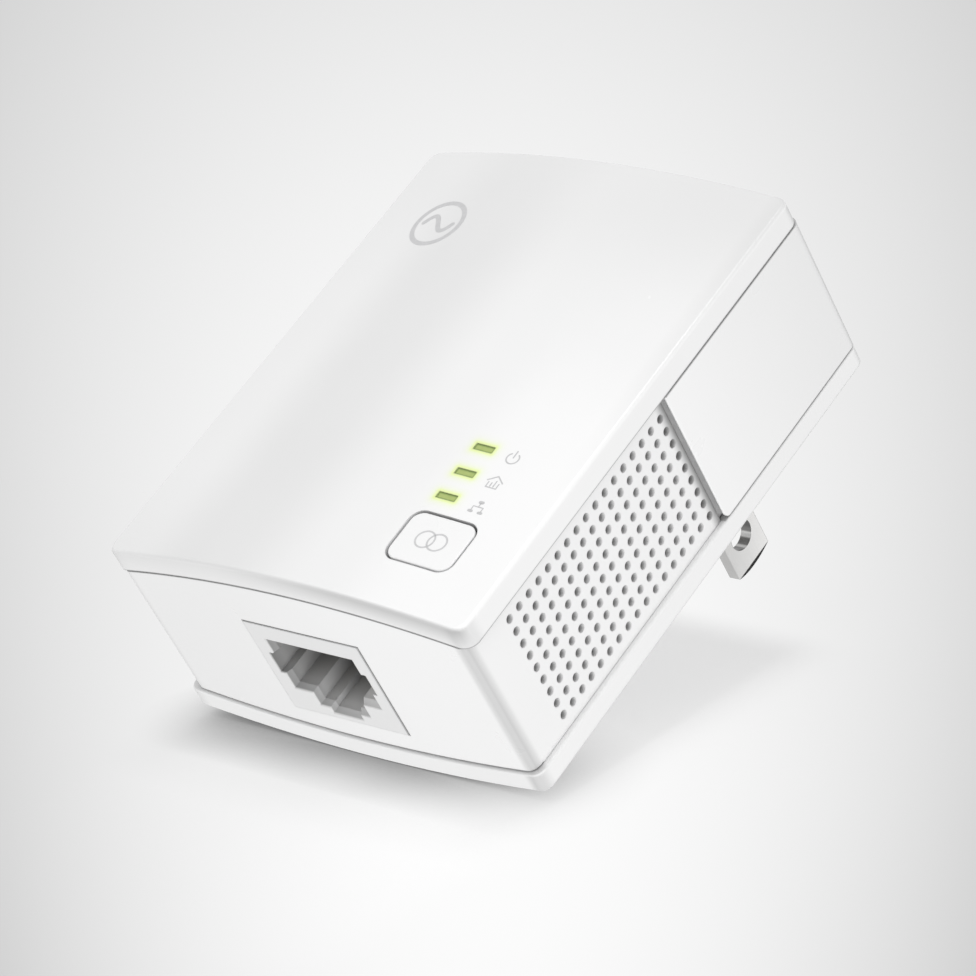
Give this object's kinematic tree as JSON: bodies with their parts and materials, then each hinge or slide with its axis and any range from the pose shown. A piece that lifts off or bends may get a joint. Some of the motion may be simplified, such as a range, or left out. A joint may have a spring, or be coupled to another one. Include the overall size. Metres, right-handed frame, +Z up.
{
  "type": "powerline network adapter",
  "caption": "Compact wall-plug powerline network adapter: white crowned case with vented sides, mains plug blades behind, network socket below, pairing button and lit windows on the front.",
  "frame": {"origin": "midway between the two plug blades, on the plug face that meets the wall outlet", "axes": "+Z up along the case away from the network socket, -Y out of the crowned front face, +Y into the wall along the blades, +X to the right seen from the front"},
  "size_m": [0.052, 0.0519, 0.0657],
  "materials": {
    "case_white": "satin",
    "button_white": "satin",
    "plug_white": "satin",
    "blade_nickel": "polished",
    "socket_plastic": "satin",
    "contact_gold": "polished",
    "terminal_brass": "satin",
    "label_film": "matte",
    "screw_steel": "satin",
    "board_green": "satin",
    "chip_black": "matte",
    "thermal_pad": "matte",
    "sink_aluminium": "satin",
    "ferrite": "matte",
    "winding_tape": "satin",
    "bobbin_black": "matte",
    "can_sleeve": "gloss",
    "film_box": "gloss",
    "disc_blue": "gloss",
    "fuse_brown": "matte",
    "copper_wire": "gloss",
    "light_guide": "gloss",
    "lamp_body": "gloss",
    "crystal_can": "satin",
    "switch_black": "matte",
    "dome_steel": "polished"
  },
  "bodies": {
    "adapter": {"back_cover": "case_white", "blade_terminal_left": "terminal_brass", "blade_terminal_right": "terminal_brass", "bridge_rectifier": "chip_black", "case_screws": "screw_steel", "choke_core": "ferrite", "choke_windings": "copper_wire", "crystal": "crystal_can", "flash_chip": "chip_black", "front_cover": "case_white", "heat_sink": "sink_aluminium", "lamp_network": "lamp_body", "lamp_power": "lamp_body", "lamp_powerline": "lamp_body", "light_pipe_network": "light_guide", "light_pipe_power": "light_guide", "light_pipe_powerline": "light_guide", "main_board": "board_green", "mains_fuse": "fuse_brown", "memory_chip": "chip_black", "mid_housing": "case_white", "modem_chip": "chip_black", "network_isolator": "chip_black", "output_capacitor": "can_sleeve", "plug_base": "plug_white", "plug_blade_left": "blade_nickel", "plug_blade_right": "blade_nickel", "power_controller": "chip_black", "rating_label": "label_film", "reservoir_capacitor_a": "can_sleeve", "reservoir_capacitor_b": "can_sleeve", "signal_coupler": "bobbin_black", "socket_contacts": "contact_gold", "socket_housing": "socket_plastic", "suppression_capacitor": "film_box", "surge_absorber": "disc_blue", "switch_body": "switch_black", "switch_dome": "dome_steel", "thermal_pad": "thermal_pad", "transformer_base": "bobbin_black", "transformer_core": "ferrite", "transformer_winding": "winding_tape"},
    "button": {"pair_button": "button_white"},
    "plunger": {"switch_plunger": "switch_black"}
  },
  "joints": [
    {"name": "button_press", "type": "slide", "parent": "adapter", "child": "button", "axis": [0, 1, 0], "range_m": [0, 0.0003], "stiffness_N_per_m": 20},
    {"name": "plunger_press", "type": "slide", "parent": "adapter", "child": "plunger", "axis": [0, 1, 0], "range_m": [0, 0.0003]}
  ],
  "couplings": [
    {"joint": "plunger_press", "follows": "button_press", "ratio": 1}
  ]
}
